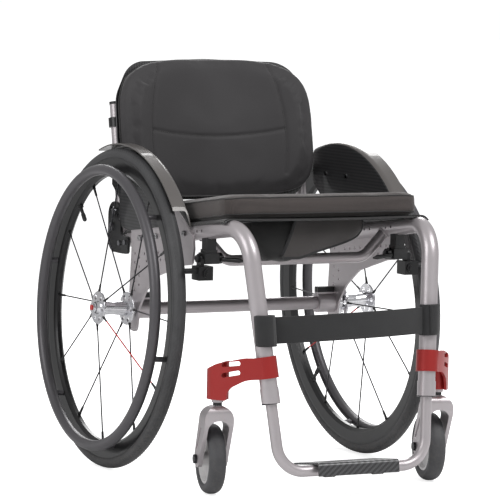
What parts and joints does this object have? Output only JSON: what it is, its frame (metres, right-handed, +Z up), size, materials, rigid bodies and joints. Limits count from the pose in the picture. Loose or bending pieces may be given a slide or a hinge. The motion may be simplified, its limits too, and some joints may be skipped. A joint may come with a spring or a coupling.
{
  "type": "manual wheelchair",
  "caption": "Rigid-frame manual wheelchair with cambered quick-release wheels, casters, folding backrest, cushion, sideguards, brakes and a height-adjustable footrest.",
  "frame": {"origin": "on the floor, in the middle of the chair's width and length", "axes": "+Z up, the chair faces -Y, +X towards the user's left"},
  "size_m": [0.6206, 0.7959, 0.7583],
  "materials": {
    "frame_silver": "satin silver paint",
    "bright_alloy": "polished",
    "red_anodised": "satin red anodised",
    "black_alloy": "satin black anodised",
    "screw_steel": "brushed",
    "carbon": "satin carbon weave",
    "black_plastic": "matte moulded",
    "handrim_grey": "satin anodised",
    "tyre_rubber": "matte rubber",
    "seat_fabric": "woven black",
    "back_fabric": "smooth stretch black"
  },
  "bodies": {
    "frame": {"side_tube_left": "frame_silver", "side_tube_right": "frame_silver", "seat_cross_tube": "frame_silver", "axle_tube": "frame_silver", "axle_clamps": "black_alloy", "side_plate_left": "frame_silver", "side_plate_right": "frame_silver", "axle_receivers": "bright_alloy", "axle_pins": "bright_alloy", "sideguard_left": "carbon", "sideguard_right": "carbon", "frame_screws": "screw_steel", "seat_sling": "seat_fabric", "seat_cushion": "seat_fabric", "seat_pouch": "seat_fabric", "calf_strap": "seat_fabric", "leg_collars": "black_alloy", "caster_arm_left": "red_anodised", "caster_arm_right": "red_anodised", "caster_housings": "red_anodised", "caster_bearings": "bright_alloy", "back_hinge_plates": "frame_silver", "hinge_bolts": "screw_steel", "brake_mounts": "black_alloy"},
    "backrest": {"back_post_left": "frame_silver", "back_post_right": "frame_silver", "post_caps": "black_plastic", "back_bar": "frame_silver", "back_pad": "back_fabric", "back_shell": "carbon", "back_brackets": "black_alloy"},
    "footrest": {"footrest_tube": "frame_silver", "footplate": "carbon", "footplate_clamps": "black_plastic"},
    "rear_wheel_left": {"tyre_left": "tyre_rubber", "rim_left": "black_alloy", "hub_left": "bright_alloy", "spokes_left": "bright_alloy", "marked_spoke_left": "red_anodised", "handrim_left": "handrim_grey"},
    "caster_fork_left": {"caster_fork_left": "frame_silver", "caster_bolt_left": "bright_alloy"},
    "caster_wheel_left": {"caster_hub_left": "bright_alloy", "caster_tyre_left": "tyre_rubber"},
    "qr_button_left": {"qr_button_left": "red_anodised"},
    "brake_lever_left": {"brake_lever_left": "black_alloy"},
    "brake_shoe_left": {"brake_shoe_left": "black_alloy"},
    "rear_wheel_right": {"tyre_right": "tyre_rubber", "rim_right": "black_alloy", "hub_right": "bright_alloy", "spokes_right": "bright_alloy", "marked_spoke_right": "red_anodised", "handrim_right": "handrim_grey"},
    "caster_fork_right": {"caster_fork_right": "frame_silver", "caster_bolt_right": "bright_alloy"},
    "caster_wheel_right": {"caster_hub_right": "bright_alloy", "caster_tyre_right": "tyre_rubber"},
    "qr_button_right": {"qr_button_right": "red_anodised"},
    "brake_lever_right": {"brake_lever_right": "black_alloy"},
    "brake_shoe_right": {"brake_shoe_right": "black_alloy"}
  },
  "joints": [
    {"name": "rear_wheel_left_spin", "type": "hinge", "parent": "frame", "child": "rear_wheel_left", "pos_m": [0.254, 0.102, 0.29561], "axis": [0.9986, 0, 0.0523], "continuous": true},
    {"name": "qr_button_left_press", "type": "slide", "parent": "frame", "child": "qr_button_left", "axis": [-0.9986, 0, -0.0523], "range_m": [0, 0.0025], "stiffness_N_per_m": 800, "springref_m": -0.001},
    {"name": "caster_left_swivel", "type": "hinge", "parent": "frame", "child": "caster_fork_left", "pos_m": [0.222, -0.279, 0.125], "axis": [0, 0, 1], "continuous": true},
    {"name": "caster_left_roll", "type": "hinge", "parent": "caster_fork_left", "child": "caster_wheel_left", "pos_m": [0.23073, -0.23792, 0.0625], "axis": [0.9781, -0.2079, 0], "continuous": true},
    {"name": "brake_lever_left_turn", "type": "hinge", "parent": "frame", "child": "brake_lever_left", "pos_m": [0.192, -0.172, 0.41101], "axis": [1, 0, 0], "range_deg": [0, 50]},
    {"name": "brake_shoe_left_press", "type": "hinge", "parent": "frame", "child": "brake_shoe_left", "pos_m": [0.192, -0.172, 0.41101], "axis": [1, 0, 0], "range_deg": [0, 10]},
    {"name": "rear_wheel_right_spin", "type": "hinge", "parent": "frame", "child": "rear_wheel_right", "pos_m": [-0.254, 0.102, 0.29561], "axis": [-0.9986, 0, 0.0523], "continuous": true},
    {"name": "qr_button_right_press", "type": "slide", "parent": "frame", "child": "qr_button_right", "axis": [0.9986, 0, -0.0523], "range_m": [0, 0.0025], "stiffness_N_per_m": 800, "springref_m": -0.001},
    {"name": "caster_right_swivel", "type": "hinge", "parent": "frame", "child": "caster_fork_right", "pos_m": [-0.222, -0.279, 0.125], "axis": [0, 0, 1], "continuous": true},
    {"name": "caster_right_roll", "type": "hinge", "parent": "caster_fork_right", "child": "caster_wheel_right", "pos_m": [-0.21327, -0.23792, 0.0625], "axis": [0.9781, -0.2079, 0], "continuous": true},
    {"name": "brake_lever_right_turn", "type": "hinge", "parent": "frame", "child": "brake_lever_right", "pos_m": [-0.192, -0.172, 0.41101], "axis": [1, 0, 0], "range_deg": [0, 50]},
    {"name": "brake_shoe_right_press", "type": "hinge", "parent": "frame", "child": "brake_shoe_right", "pos_m": [-0.192, -0.172, 0.41101], "axis": [1, 0, 0], "range_deg": [0, 10]},
    {"name": "backrest_fold", "type": "hinge", "parent": "frame", "child": "backrest", "pos_m": [0, 0.2, 0.438], "axis": [1, 0, 0], "range_deg": [0, 15]},
    {"name": "footrest_slide", "type": "slide", "parent": "frame", "child": "footrest", "axis": [0, 0.1539, 0.9881], "range_m": [-0.015, 0.015]}
  ],
  "couplings": [
    {"joint": "brake_shoe_left_press", "follows": "brake_lever_left_turn", "ratio": 0.2},
    {"joint": "brake_shoe_right_press", "follows": "brake_lever_right_turn", "ratio": 0.2}
  ]
}
